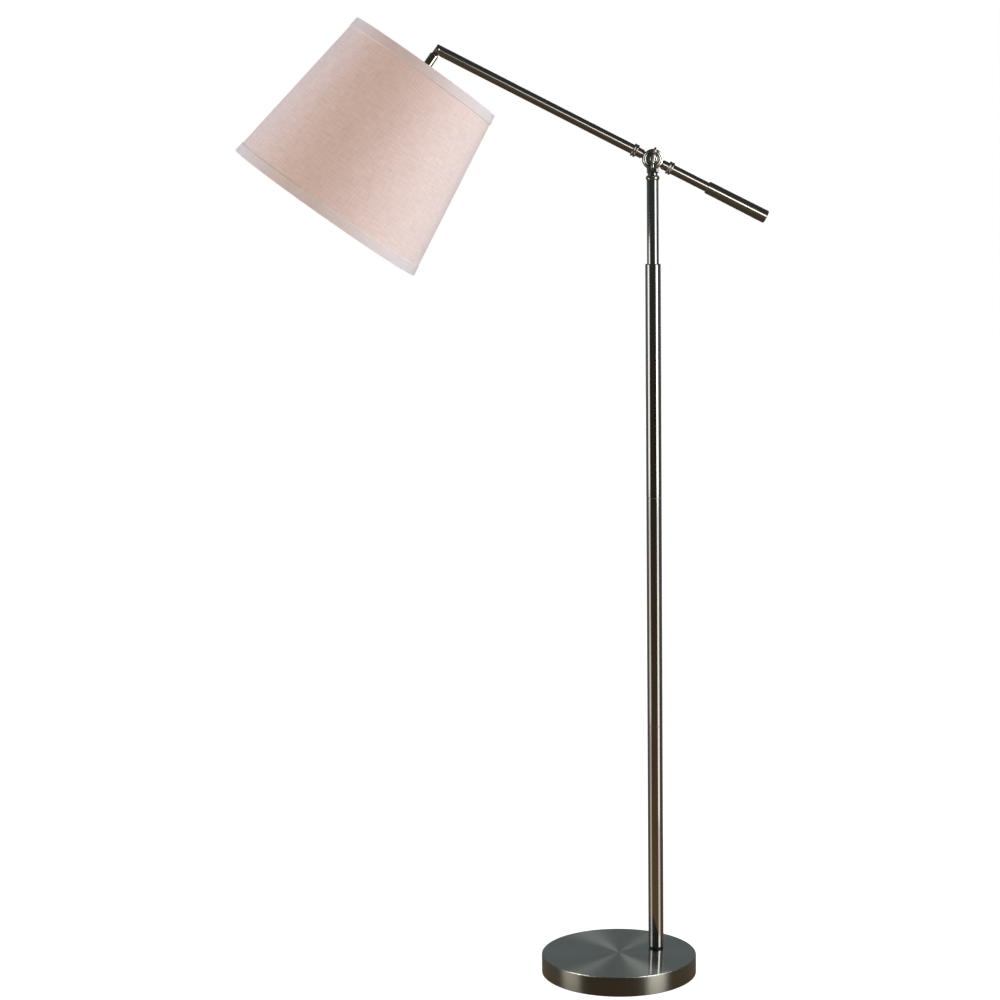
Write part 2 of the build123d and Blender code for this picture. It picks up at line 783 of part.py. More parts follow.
def holder_pieces():
    """Pieces of the lamp holder, by node."""
    sleeve_low = shell_low + shell_lip
    sleeve = tube(shell_bore - fit, shell_bore - fit - sleeve_wall, sleeve_low, block_low)
    screw = screw_shell_diameter / 2
    screw_shell = tube(screw, screw - screw_shell_wall, block_low - screw_shell_height, block_low)
    screw_shell += tube(screw, contact_diameter, block_low - screw_shell_wall, block_low)
    nipple_high = washer_high + nipple_in_stem
    return {
        "head_nipple": tube(thread_radius, nipple_bore / 2, head_nipple_low, nipple_high),
        "lock_nut": hex_nut(lock_nut_across_flats, thread_hole, lock_nut_low, cap_inside),
        "holder_cap": holder_cap(),
        "holder_shell": holder_shell(),
        "switch_block": switch_block(),
        "insulating_sleeve": sleeve,
        "screw_shell": screw_shell,
        "centre_contact": rod(contact_diameter / 2, contact_low, block_low),
        "switch_knob": switch_knob(),
    }


# Every piece in its place, written to its own file
placed = [
    (base_frame, base_pieces()),
    (pole_frame, pole_pieces()),
    (pole_frame, mast_pieces()),
    (hub_frame, {"knuckle_fork": knuckle_fork()}),
    (pivot_frame, knuckle_pieces()),
    (boom_frame, boom_pieces()),
    (rear_frame, rear_pieces()),
    (head_frame, {"head_stem": head_stem()}),
    (head_frame, shade_pieces()),
    (head_frame, holder_pieces()),
    (head_frame, bulb_pieces()),
]

os.makedirs("parts", exist_ok=True)
for place, pieces in placed:
    for node, shape in pieces.items():
        export_step(place * shape, f"parts/{node}.step")
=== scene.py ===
import json
import math
import bpy
from mathutils import Matrix, Vector


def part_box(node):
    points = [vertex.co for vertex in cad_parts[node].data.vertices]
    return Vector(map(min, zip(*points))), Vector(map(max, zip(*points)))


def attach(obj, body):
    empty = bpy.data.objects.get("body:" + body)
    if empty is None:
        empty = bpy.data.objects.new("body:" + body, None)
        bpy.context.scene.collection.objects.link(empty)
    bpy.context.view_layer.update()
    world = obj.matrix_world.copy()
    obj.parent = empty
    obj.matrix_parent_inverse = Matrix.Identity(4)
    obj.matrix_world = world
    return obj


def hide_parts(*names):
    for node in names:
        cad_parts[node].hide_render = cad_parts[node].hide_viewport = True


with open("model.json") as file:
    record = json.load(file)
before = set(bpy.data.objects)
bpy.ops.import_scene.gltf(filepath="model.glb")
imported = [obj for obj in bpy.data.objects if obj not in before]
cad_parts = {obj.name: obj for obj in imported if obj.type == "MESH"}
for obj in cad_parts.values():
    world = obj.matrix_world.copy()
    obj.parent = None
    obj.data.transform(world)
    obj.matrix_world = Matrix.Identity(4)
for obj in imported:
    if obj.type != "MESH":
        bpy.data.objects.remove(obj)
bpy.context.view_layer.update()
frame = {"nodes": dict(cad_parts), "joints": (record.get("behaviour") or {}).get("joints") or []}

# Felt pad
# The disc of pressed black felt that the lamp stands on. It is cut from sheet and glued under the iron
# weight, so that the base doesn't scratch the floor.
nodes = frame["nodes"]
upright = Matrix.Identity(4)
full_turn = 2 * math.pi
start_size = 0.01
weld = 0.000005
crease = math.radians(30)


class Value:
    """A number that varies over a surface. Python maths on it adds Math nodes."""

    def __init__(self, finish, socket):
        self.finish = finish
        self.socket = socket

    def maths(self, operation, *values):
        return self.finish.node("Math", {"operation": operation}, dict(enumerate(values)))

    def __add__(self, other):
        return self.maths("ADD", self, other)

    __radd__ = __add__

    def __sub__(self, other):
        return self.maths("SUBTRACT", self, other)

    def __rsub__(self, other):
        return self.maths("SUBTRACT", other, self)

    def __mul__(self, other):
        return self.maths("MULTIPLY", self, other)

    __rmul__ = __mul__

    def __truediv__(self, other):
        return self.maths("DIVIDE", self, other)

    def __pow__(self, power):
        return self.maths("POWER", self, power)

    def sine(self):
        return self.maths("SINE", self)

    def clamped(self):
        return self.finish.node("Clamp", {}, {"Value": self})


class Finish:
    """A node tree that is written as Python: one method adds any node, the others are short forms of it."""

    def __init__(self, tree):
        self.tree = tree

    def join(self, value, socket):
        """Link a value to a socket, or set the socket to a constant."""
        if isinstance(value, Value):
            self.tree.links.new(value.socket, socket)
        else:
            socket.default_value = value

    def node(self, kind, settings, sockets, output=0):
        """Add one node: its settings first, then the values or links of its sockets."""
        node = self.tree.nodes.new("ShaderNode" + kind)
        for name, setting in settings.items():
            setattr(node, name, setting)
        for name, value in sockets.items():
            self.join(value, node.inputs[name])
        return Value(self, node.outputs[output])

    def noise(self, place, size, detail=2.0, roughness=0.5):
        """Cloudy noise, from about 0 to 1, with features of a size in metres."""
        sockets = {"Vector": place, "Scale": 1 / size, "Detail": detail, "Roughness": roughness}
        return self.node("TexNoise", {}, sockets)

    def lines(self, run, size):
        """Noise along one direction only, as fine parallel marks."""
        sockets = {"W": run / size, "Scale": 1.0, "Detail": 3.0, "Roughness": 0.7}
        return self.node("TexNoise", {"noise_dimensions": "1D"}, sockets)

    def mix(self, share, first, second):
        """Colour between two colours."""
        return self.node("Mix", {"data_type": "RGBA"}, {0: share, 6: first, 7: second}, 2)

    def bump(self, height, strength, depth):
        """Normal of a surface with small relief."""
        return self.node("Bump", {}, {"Strength": strength, "Distance": depth, "Height": height})


def new_finish(name, constants):
    """Material with a Principled shader whose constant sockets are set, and its Object coordinates."""
    material = bpy.data.materials.new(name)
    material.use_nodes = True
    finish = Finish(material.node_tree)
    finish.material = material
    finish.shader = material.node_tree.nodes["Principled BSDF"]
    finish.place = finish.node("TexCoord", {}, {}, "Object")
    for socket, value in constants.items():
        finish.shader.inputs[socket].default_value = value
    return finish


def paint(finish, **varying):
    """Feed what varies over the surface to the shader: colour, roughness, coat or normal."""
    names = {"colour": "Base Color", "roughness": "Roughness", "coat": "Coat Weight", "normal": "Normal"}
    for name, value in varying.items():
        finish.join(value, finish.shader.inputs[names[name]])


def mottled(name, dark, light, grain, roughness, relief, constants):
    """Plain finish of one material: cloudy colour, uneven gloss and a fine relief of a grain size."""
    finish = new_finish(name, constants)
    cloud = finish.noise(finish.place, size=grain * 12)
    fine = finish.noise(finish.place, size=grain, detail=4.0, roughness=0.6)
    low, high = roughness
    paint(
        finish,
        colour=finish.mix(cloud * 0.7 + fine * 0.3, dark, light),
        roughness=fine * (high - low) + low,
        normal=finish.bump(fine, strength=relief, depth=grain / 2),
    )
    return finish


def dress(finish, *names):
    """Give CAD nodes their finish."""
    for name in names:
        nodes[name].data.materials.clear()
        nodes[name].data.materials.append(finish.material)


def arc(centre, radius, start, end, steps):
    """Points of a round corner of an outline, with angles in degrees from the outward direction."""
    angles = [math.radians(start + (end - start) * step / steps) for step in range(steps + 1)]
    return [(centre[0] + radius * math.cos(a), centre[1] + radius * math.sin(a)) for a in angles]


def turned(name, outline, segments, place=upright, sweep=full_turn):
    """Mesh turned about the Z axis of a place from an outline of radius and height. A small plane, merged to
    one point, is extruded along the outline and spun. An outline that starts off the axis is closed."""
    bpy.ops.object.select_all(action="DESELECT")
    bpy.ops.mesh.primitive_plane_add(size=start_size)
    piece = bpy.context.object
    piece.name = name
    piece.data.name = name
    closed = outline[0][0] > 0
    ends = outline[1:] + outline[:1] if closed else outline[1:]
    bpy.ops.object.mode_set(mode="EDIT")
    bpy.ops.mesh.select_all(action="SELECT")
    bpy.ops.mesh.merge(type="CENTER")
    bpy.ops.transform.translate(value=(outline[0][0], 0, outline[0][1]))
    for start, end in zip(outline, ends):
        step = (end[0] - start[0], 0, end[1] - start[1])
        bpy.ops.mesh.extrude_region_move(TRANSFORM_OT_translate={"value": step})
    bpy.ops.mesh.select_all(action="SELECT")
    bpy.ops.mesh.spin(steps=segments, angle=sweep, center=(0, 0, 0), axis=(0, 0, 1))
    bpy.ops.mesh.select_all(action="SELECT")
    bpy.ops.mesh.remove_doubles(threshold=weld)
    if sweep < full_turn:
        bpy.ops.mesh.fill_holes(sides=len(outline))
    bpy.ops.mesh.normals_make_consistent(inside=False)
    bpy.ops.object.mode_set(mode="OBJECT")
    bpy.ops.object.shade_smooth_by_angle(angle=crease)
    piece.matrix_world = place
    bpy.ops.object.transform_apply(location=True, rotation=True, scale=True)
    return piece


def stand_for(piece, finish, slot, body, *names):
    """Finish a new piece, and let it ride on a body in place of CAD nodes."""
    piece.data.materials.clear()
    piece.data.materials.append(finish.material)
    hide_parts(*names)
    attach(piece, body)


felt = mottled(
    "pressed_felt",
    dark=(0.008, 0.008, 0.008, 1),
    light=(0.03, 0.028, 0.026, 1),
    grain=0.0012,
    roughness=(0.9, 1.0),
    relief=0.6,
    constants={"Sheen Weight": 0.3},
)
pad_low, pad_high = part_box("base_pad")
pad_radius = (pad_high.x - pad_low.x) / 2
pad_edge = 0.0008
pad_edge_steps = 4
pad_facets = 160
pad_outline = (
    [(0, pad_low.z)]
    + arc((pad_radius - pad_edge, pad_low.z + pad_edge), pad_edge, -90, 0, pad_edge_steps)
    + arc((pad_radius - pad_edge, pad_high.z - pad_edge), pad_edge, 0, 90, pad_edge_steps)
    + [(0, pad_high.z)]
)
felt_pad = turned("felt_pad", pad_outline, pad_facets)
stand_for(felt_pad, felt, "felt", "stand", "base_pad")

# Iron weight and its fastening
# The cast disc that keeps the lamp standing, with the zinc-plated nipple, washer and nut that draw the pole
# down on it. All of it is under the cover.
iron = mottled(
    "cast_iron",
    dark=(0.035, 0.034, 0.033, 1),
    light=(0.09, 0.085, 0.08, 1),
    grain=0.0015,
    roughness=(0.55, 0.8),
    relief=0.5,
    constants={"Metallic": 0.6},
)
zinc = mottled(
    "zinc_plate",
    dark=(0.42, 0.42, 0.41, 1),
    light=(0.62, 0.62, 0.6, 1),
    grain=0.0008,
    roughness=(0.25, 0.4),
    relief=0.1,
    constants={"Metallic": 1.0},
)
dress(iron, "base_weight")
dress(zinc, "base_nipple", "base_washer", "base_nut")

# Base cover
# The disc that shows as the base: sheet metal spun on a lathe, with a flat top, an eased edge and a straight
# side, then plated in dark antique nickel and brushed round its centre.


def along(finish, place, way):
    """Distance of a place along a direction."""
    return finish.node("VectorMath", {"operation": "DOT_PRODUCT"}, {0: place, 1: tuple(way)}, "Value")


cover_low, cover_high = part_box("base_cover")
cover_radius = (cover_high.x - cover_low.x) / 2
cover_wall = 0.0012
cover_edge = 0.002
cover_edge_steps = 10
cover_facets = 256
top_blend = 0.00025
brush_mark = 0.0007
wear_size = 0.05
plain_roughness = 0.28
brush_roughness = 0.12
wear_roughness = 0.04
side_dark = (0.25, 0.24, 0.2, 1)
side_light = (0.32, 0.31, 0.265, 1)
top_dark = (0.05, 0.049, 0.045, 1)
top_light = (0.08, 0.079, 0.072, 1)
spun = new_finish(
    "spun_plate",
    {
        "Metallic": 1.0,
        "Anisotropic": 0.9,
        "Anisotropic Rotation": 0.25,
        "Coat IOR": 3.8,
        "Coat Roughness": 0.05,
    },
)
from_centre = spun.node(
    "VectorMath",
    {"operation": "LENGTH"},
    {0: spun.node("VectorMath", {"operation": "MULTIPLY"}, {0: spun.place, 1: (1, 1, 0)})},
    "Value",
)
cover_height = along(spun, spun.place, (0, 0, 1))
brushing = spun.lines(from_centre - cover_height, brush_mark)
wear = spun.noise(spun.place, wear_size)
blend = wear * 0.6 + brushing * 0.4
on_top = ((cover_height - (cover_high.z - top_blend)) / top_blend).clamped()
side_colour = spun.mix(blend, side_dark, side_light)
top_colour = spun.mix(blend, top_dark, top_light)
paint(
    spun,
    colour=spun.mix(on_top, side_colour, top_colour),
    roughness=brushing * brush_roughness + plain_roughness + wear * wear_roughness,
    coat=on_top,
    normal=spun.bump(brushing, strength=0.02, depth=0.0002),
)
rim_edge = 0.0004
rim_steps = 3
bore_radius = cover_radius - cover_wall
under_top = cover_high.z - cover_wall
cover_outline = (
    [(0, cover_high.z)]
    + arc((cover_radius - cover_edge, cover_high.z - cover_edge), cover_edge, 90, 0, cover_edge_steps)
    + arc((cover_radius - rim_edge, cover_low.z + rim_edge), rim_edge, 0, -90, rim_steps)
    + arc((bore_radius + rim_edge, cover_low.z + rim_edge), rim_edge, -90, -180, rim_steps)
    + [(bore_radius, under_top), (0, under_top)]
)
cover = turned("spun_base_cover", cover_outline, cover_facets)
drill_length = 0.02
drill_facets = 64


def drilled(piece, radius, place):
    """Cut a round hole through a piece, along the Z axis of a place."""
    bpy.ops.object.select_all(action="DESELECT")
    bpy.ops.mesh.primitive_cylinder_add(vertices=drill_facets, radius=radius, depth=drill_length)
    drill = bpy.context.object
    drill.matrix_world = place
    cut = piece.modifiers.new("hole", "BOOLEAN")
    cut.operation = "DIFFERENCE"
    cut.object = drill
    bpy.context.view_layer.objects.active = piece
    bpy.ops.object.modifier_apply(modifier=cut.name)
    bpy.data.objects.remove(drill)


nipple_low, nipple_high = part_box("base_nipple")
nipple_middle = (nipple_low + nipple_high) / 2
nipple_radius = (nipple_high.x - nipple_low.x) / 2
hole_room = 0.0003
pole_axis = Vector((nipple_middle.x, nipple_middle.y, 0))
nipple_hole = Matrix.Translation((pole_axis.x, pole_axis.y, cover_high.z))
drilled(cover, nipple_radius + hole_room, nipple_hole)
bushing_low, bushing_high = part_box("cord_bushing")
bushing_radius = 0.00505
bushing_height = (bushing_low.z + bushing_high.z) / 2
cord_way = pole_axis.normalized()
cord_hole = Matrix.Translation(cord_way * cover_radius + Vector((0, 0, bushing_height)))
cord_turn = cord_way.to_track_quat("Z", "Y").to_matrix().to_4x4()
drilled(cover, bushing_radius, cord_hole @ cord_turn)
bpy.ops.object.shade_smooth_by_angle(angle=crease)
stand_for(cover, spun, "base_plate", "stand", "base_cover")

# Cord bushing
# The black moulded bushing in the small hole at the back of the cover. It snaps in with a groove round its
# middle, and keeps the edge of the sheet metal off the cord.
plastic = mottled(
    "black_moulding",
    dark=(0.012, 0.012, 0.012, 1),
    light=(0.024, 0.024, 0.024, 1),
    grain=0.0006,
    roughness=(0.4, 0.55),
    relief=0.15,
    constants={},
)
dress(plastic, "cord_bushing")

# Pole
# Three steel tubes, screwed end to end on joiners with only a fine seam, polished and plated like the base.
# The foot insert screws on the nipple. Its low flange is painted near black, as painted shade at the tube's
# foot, and shows as a dark ring under the tube.
nickel_dark = (0.35, 0.335, 0.31, 1)
nickel_light = (0.43, 0.415, 0.39, 1)
plate_cloud = 0.05
plate_unevenness = 0.04
plate_relief = 0.002


def plated(name, run, mark, roughness):
    """Dark antique nickel plate with the fine marks of polishing on a lathe, which run round a direction."""
    finish = new_finish(name, {"Metallic": 1.0})
    marks = finish.lines(along(finish, finish.place, run), mark)
    cloud = finish.noise(finish.place, plate_cloud)
    low, high = roughness
    paint(
        finish,
        colour=finish.mix(cloud * 0.8 + marks * 0.2, nickel_dark, nickel_light),
        roughness=marks * (high - low) + cloud * plate_unevenness + (low - plate_unevenness / 2),
        normal=finish.bump(marks, strength=plate_relief, depth=mark / 4),
    )
    return finish


def tube_outline(outer, wall, low, high, edge):
    """Outline of a tube with eased ends."""
    bore = outer - wall
    return [
        (outer, low + edge),
        (outer, high - edge),
        (outer - edge, high),
        (bore + edge, high),
        (bore, high - edge),
        (bore, low + edge),
        (bore + edge, low),
        (outer - edge, low),
    ]


tube_plate = plated("tube_plate", run=(0, 0, 1), mark=0.0006, roughness=(0.06, 0.09))
pole_place = Matrix.Translation(pole_axis)
pole_wall = 0.0012
tube_edge = 0.0003
tube_facets = 128
pole_tubes = []
for name in ("pole_lower", "pole_middle", "pole_upper"):
    tube_low, tube_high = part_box(name)
    tube_radius = (tube_high.x - tube_low.x) / 2
    outline = tube_outline(tube_radius, pole_wall, tube_low.z, tube_high.z, tube_edge)
    pole_tube = turned(name + "_tube", outline, tube_facets, pole_place)
    stand_for(pole_tube, tube_plate, "plated_tube", "stand", name)
    pole_tubes.append(pole_tube)
# Near-black finish of the foot insert: painted shade that stands for the contact shadow at the pole's foot.
foot_shade_black = mottled(
    "painted_foot_shade",
    dark=(0.008, 0.008, 0.008, 1),
    light=(0.02, 0.019, 0.018, 1),
    grain=0.0008,
    roughness=(0.35, 0.5),
    relief=0.05,
    constants={"Metallic": 0.5},
)
dress(foot_shade_black, "pole_foot_insert")
joiner_plate = plated("joiner_plate", run=(0, 0, 1), mark=0.0006, roughness=(0.3, 0.36))
dress(joiner_plate, "pole_joiner_lower", "pole_joiner_upper")

# Telescope
# The thinner mast, plated like the pole, slides and turns in it. A moulded bush with a thin lip guides it at
# the pole's open end, and a split sleeve on its lower end grips the pole's bore.
mast_wall = 0.001
mast_low, mast_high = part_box("mast_tube")
mast_radius = (mast_high.x - mast_low.x) / 2
mast_outline = tube_outline(mast_radius, mast_wall, mast_low.z, mast_high.z, tube_edge)
mast = turned("sliding_mast", mast_outline, tube_facets, pole_place)
stand_for(mast, tube_plate, "plated_tube", "mast", "mast_tube")
dress(plastic, "swivel_bush", "grip_sleeve")

# Knuckle
# The fork on top of the mast, turned in brass and plated: bead, vase neck and two round cheeks, the front one
# with a bold round ring. A bolt with friction washers goes through the cheeks and the boom's eye.
knuckle_plate = plated("knuckle_plate", run=(0, 0, 1), mark=0.0005, roughness=(0.1, 0.14))
dress(knuckle_plate, "knuckle_fork", "pivot_bolt")
dress(plastic, "friction_washers")
dress(zinc, "key_washer")
joints = {joint["name"]: joint for joint in frame["joints"]}
hub = Vector(joints["boom_tilt"]["pos_m"])
cheek_rise = 0.0016
cheek_face = hub.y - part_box("knuckle_fork")[0].y - cheek_rise
ring_middle = 0.0133
ring_half = 0.0029
ring_rise = 0.0026
ring_seat = 0.0002
ring_steps = 18
ring_facets = 128
ring_outline = []
for step in range(ring_steps + 1):
    turn = math.pi * step / ring_steps
    ring_outline.append((ring_middle + ring_half * math.cos(turn), cheek_face + ring_rise * math.sin(turn)))
ring_outline.append((ring_middle - ring_half, cheek_face - ring_seat))
ring_outline.append((ring_middle + ring_half, cheek_face - ring_seat))
pivot_place = Matrix.Translation(hub) @ Matrix.Rotation(math.radians(90), 4, "X")
cheek_ring = turned("cheek_ring", ring_outline, ring_facets, pivot_place)
cheek_ring.data.materials.append(knuckle_plate.material)
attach(cheek_ring, "mast")

# Wing key
# The key in front of the knuckle that tightens the bolt by hand. It is cast, tumbled, polished and plated
# like the fork, and it screws on the bolt's end against a zinc-plated washer.
dress(knuckle_plate, "wing_key")

# Boom
# Two plated tubes that screw into the hub's beaded collars, with a heavy sleeve on the rear one that balances
# the shade. The front tube's slotted end holds a plug and the hinge pin of the stem.
pin = Vector(joints["head_tilt"]["pos_m"])
boom_way = (pin - hub).normalized()
boom_names = ("boom_front_tube", "boom_rear_tube", "boom_hub", "counterweight", "boom_tip_plug", "hinge_pin")
boom_plate = plated("boom_plate", run=boom_way, mark=0.0025, roughness=(0.13, 0.18))
dress(boom_plate, *boom_names)

# Stem and shade fitter
# The round plated stem hangs from the hinge pin. A hollow nipple and its lock nut clamp the fitter, a washer
# with three wire spokes and a ring in white enamel, between the stem and the lamp holder.
head_across = Vector(joints["switch_turn"]["axis"])
head_back = Vector((0, 1, 0))
head_up = head_across.cross(head_back)
head_place = Matrix.Translation(pin) @ Matrix((head_across, head_back, head_up)).transposed().to_4x4()
head_plate = plated("head_plate", run=head_up, mark=0.0005, roughness=(0.12, 0.17))
enamel = mottled(
    "white_enamel",
    dark=(0.72, 0.71, 0.68, 1),
    light=(0.82, 0.81, 0.79, 1),
    grain=0.001,
    roughness=(0.25, 0.4),
    relief=0.1,
    constants={"Coat Weight": 0.3},
)
dress(head_plate, "head_stem")
dress(zinc, "head_nipple", "lock_nut")
dress(enamel, "shade_fitter", "shade_bottom_ring")

# Shade liner
# Stiff white plastic film, rolled into a cone and glued to the linen, which it holds in shape between the
# fitter's ring at the top and the bottom ring.
film = mottled(
    "white_film",
    dark=(0.76, 0.73, 0.69, 1),
    light=(0.84, 0.82, 0.78, 1),
    grain=0.002,
    roughness=(0.5, 0.65),
    relief=0.05,
    constants={},
)
dress(film, "shade_liner")

# Linen cover
# One piece of plain-woven linen, cut as a ring sector and glued round the liner, its ends lapped at the back.
# The yarn is uneven, so that darker and thicker threads show as short streaks.
thread = 0.00055
weft_slub_length = 0.022
weft_slub_height = 0.0019
warp_slub_width = 0.002
warp_slub_length = 0.026
linen_cloud = 0.04
cloud_share = 0.35
weave_share = 0.25
yarn_roughness = 0.97
weave_gloss = 0.12
linen_slubs = 3.8
linen_pale = (0.93, 0.77, 0.715, 1)
linen_deep = (0.77, 0.62, 0.56, 1)
same_level = 0.00002
shade_facets = 256


def ends_of(node, place):
    """Height, outer radius and inner radius at the low and the high end of a node turned about a place."""
    back = place.inverted()
    points = [back @ vertex.co for vertex in nodes[node].data.vertices]
    ends = []
    for height in (min(p.z for p in points), max(p.z for p in points)):
        radii = [math.hypot(p.x, p.y) for p in points if abs(p.z - height) < same_level]
        ends.append((height, max(radii), min(radii)))
    return ends


def woven(name, pale, deep, slub_strength):
    """Plain weave round the shade's axis: bumps of the crossing threads, and slubs along both of them."""
    finish = new_finish(name, {"Sheen Weight": 0.25, "Sheen Roughness": 0.6, "Specular IOR Level": 0.2})
    turn = head_place.to_3x3().transposed()
    settle = {"Vector": finish.place, "Rotation": turn.to_euler(), "Location": -(turn @ pin)}
    local = finish.node("Mapping", {"vector_type": "POINT"}, settle)
    across = along(finish, local, (1, 0, 0))
    depth = along(finish, local, (0, 1, 0))
    height = along(finish, local, (0, 0, 1))
    angle = across.maths("ARCTAN2", across, 0 - depth)
    around = angle * mean_radius
    warp = (angle * warp_threads / 2).sine()
    weft = (height * (math.pi / thread)).sine()
    weave = warp * weft * 0.5 + 0.5
    weft_place = {"X": around / weft_slub_length, "Y": height / weft_slub_height}
    warp_place = {"X": around / warp_slub_width, "Y": height / warp_slub_length}
    weft_run = finish.node("CombineXYZ", {}, weft_place)
    warp_run = finish.node("CombineXYZ", {}, warp_place)
    weft_slubs = finish.noise(weft_run, size=1.0, detail=3.0, roughness=0.6)
    warp_slubs = finish.noise(warp_run, size=1.0, detail=3.0, roughness=0.6)
    cloud = finish.noise(local, size=linen_cloud, detail=3.0)
    slubs = (weft_slubs * 0.6 + warp_slubs * 0.4 - 0.5) * slub_strength
    shade_of_yarn = (0.5 + slubs + (cloud - 0.5) * cloud_share + (weave - 0.5) * weave_share).clamped()
    paint(
        finish,
        colour=finish.mix(shade_of_yarn, deep, pale),
        roughness=yarn_roughness - weave * weave_gloss,
        normal=finish.bump(weave + slubs, strength=0.35, depth=0.0003),
    )
    return finish


linen_foot, linen_head = ends_of("shade_cover", head_place)
cover_foot, foot_radius, foot_bore = linen_foot
cover_head, head_radius, head_bore = linen_head
mean_radius = (foot_radius + head_radius) / 2
warp_threads = 2 * round(math.pi * mean_radius / thread)
linen = woven("plain_linen", linen_pale, linen_deep, linen_slubs)
linen_outline = [
    (foot_radius, cover_foot),
    (head_radius, cover_head),
    (head_bore, cover_head),
    (foot_bore, cover_foot),
]
linen_cover = turned("linen_cover", linen_outline, shade_facets, head_place)
stand_for(linen_cover, linen, "shade_linen", "head", "shade_cover")
lap_width = 0.01
lap_rise = 0.0006
lap_margin = 0.0155
lap_facets = 8
lap_sweep = lap_width / mean_radius
lap_low = cover_foot + lap_margin
lap_high = cover_head - lap_margin
cover_slope = (foot_radius - head_radius) / (cover_head - cover_foot)
lap_low_radius = foot_radius - cover_slope * lap_margin
lap_high_radius = head_radius + cover_slope * lap_margin
lap_outline = [
    (lap_low_radius + lap_rise, lap_low),
    (lap_high_radius + lap_rise, lap_high),
    (lap_high_radius, lap_high),
    (lap_low_radius, lap_low),
]
lap_place = head_place @ Matrix.Rotation((math.pi - lap_sweep) / 2, 4, "Z")
linen_lap = turned("linen_lap", lap_outline, lap_facets, lap_place, lap_sweep)
linen_lap.data.materials.append(linen.material)
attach(linen_lap, "head")

# Trim bands
# Folded strips of the same linen, glued over both edges of the shade. Each covers the wire ring with a lip
# and shows as a narrow band on the outside.
band_pale = (0.85, 0.77, 0.75, 1)
band_deep = (0.73, 0.65, 0.63, 1)
band_slubs = 2.4
trim = woven("band_linen", band_pale, band_deep, band_slubs)
trim_band = 0.016
trim_thick = 0.00095
trim_fold = 0.0003


def trim_outline(edge, inward):
    """Outline of a band: outside, folded free edge, inside up to the lip, and the lip over the ring."""
    height, outside, lip = edge
    free = height + inward * trim_band
    under = height + inward * trim_thick
    free_outside = outside - cover_slope * inward * trim_band
    under_inside = outside - cover_slope * inward * trim_thick - trim_thick
    return [
        (outside - trim_fold, height),
        (outside, height + inward * trim_fold),
        (free_outside, free - inward * trim_fold),
        (free_outside - trim_fold, free),
        (free_outside - trim_thick, free),
        (under_inside, under),
        (lip + trim_fold, under),
        (lip, under - inward * trim_fold),
        (lip, height + inward * trim_fold),
        (lip + trim_fold, height),
    ]


bottom_edge = ends_of("shade_bottom_trim", head_place)[0]
top_edge = ends_of("shade_top_trim", head_place)[1]
bottom_band = turned("bottom_trim_band", trim_outline(bottom_edge, 1), shade_facets, head_place)
top_band = turned("top_trim_band", trim_outline(top_edge, -1), shade_facets, head_place)
stand_for(bottom_band, trim, "shade_band", "head", "shade_bottom_trim")
stand_for(top_band, trim, "shade_band", "head", "shade_top_trim")
slant = math.hypot(cover_head - cover_foot, foot_radius - head_radius)
outer_sweep = foot_radius * slant / (foot_radius - head_radius)
inner_sweep = outer_sweep - slant
sector = full_turn * foot_radius / outer_sweep
linen_area = sector / 2 * (outer_sweep**2 - inner_sweep**2)
linen_span = 2 * outer_sweep * math.sin(sector / 2)
linen_depth = outer_sweep - inner_sweep * math.cos(sector / 2)

# Lamp holder
# The spun cap and shell in dark plate snap together round a phenolic switch block with a turn knob. Inside an
# insulating sleeve sit the brass screw shell and the centre contact.
phenolic = mottled(
    "black_phenolic",
    dark=(0.008, 0.008, 0.008, 1),
    light=(0.02, 0.018, 0.016, 1),
    grain=0.0008,
    roughness=(0.15, 0.25),
    relief=0.05,
    constants={},
)
brass = mottled(
    "bright_brass",
    dark=(0.62, 0.43, 0.16, 1),
    light=(0.78, 0.57, 0.25, 1),
    grain=0.001,
    roughness=(0.2, 0.35),
    relief=0.08,
    constants={"Metallic": 1.0},
)
dress(head_plate, "holder_cap", "holder_shell")
dress(phenolic, "switch_block", "switch_knob")
dress(plastic, "insulating_sleeve")
dress(brass, "screw_shell", "centre_contact")

# Bulb
# An opal glass bulb, blown and cemented into its cap. The cap is rolled aluminium and screws into the brass
# shell of the lamp holder.
aluminium = mottled(
    "rolled_aluminium",
    dark=(0.62, 0.62, 0.63, 1),
    light=(0.78, 0.78, 0.79, 1),
    grain=0.001,
    roughness=(0.25, 0.4),
    relief=0.1,
    constants={"Metallic": 1.0},
)
opal = mottled(
    "opal_glass",
    dark=(0.80, 0.80, 0.78, 1),
    light=(0.88, 0.88, 0.86, 1),
    grain=0.003,
    roughness=(0.12, 0.2),
    relief=0.02,
    constants={"Coat Weight": 0.6, "Coat Roughness": 0.05},
)
dress(aluminium, "bulb_cap")
dress(opal, "bulb_glass")

# Floor
# The plain pale floor that the lamp stands on. It is a wide sheet that only the camera sees, so that the
# plate reflects a dim room and no white from below.
floor_size = 24.0
floor_grain_size = 0.2
floor_dark = (0.8, 0.8, 0.8, 1)
floor_light = (0.84, 0.84, 0.84, 1)
bpy.ops.object.select_all(action="DESELECT")
bpy.ops.mesh.primitive_plane_add(size=floor_size)
floor = bpy.context.object
floor.name = "pale_floor"
floor.visible_glossy = False
floor.visible_diffuse = False
floor_paint = new_finish(
    "pale_floor",
    {
        "Roughness": 1.0,
        "Specular IOR Level": 0.0,
        "Emission Color": (1, 1, 1, 1),
        "Emission Strength": 1.0,
    },
)
floor_grain = floor_paint.noise(floor_paint.place, floor_grain_size)
paint(floor_paint, colour=floor_paint.mix(floor_grain, floor_dark, floor_light))
floor.data.materials.append(floor_paint.material)

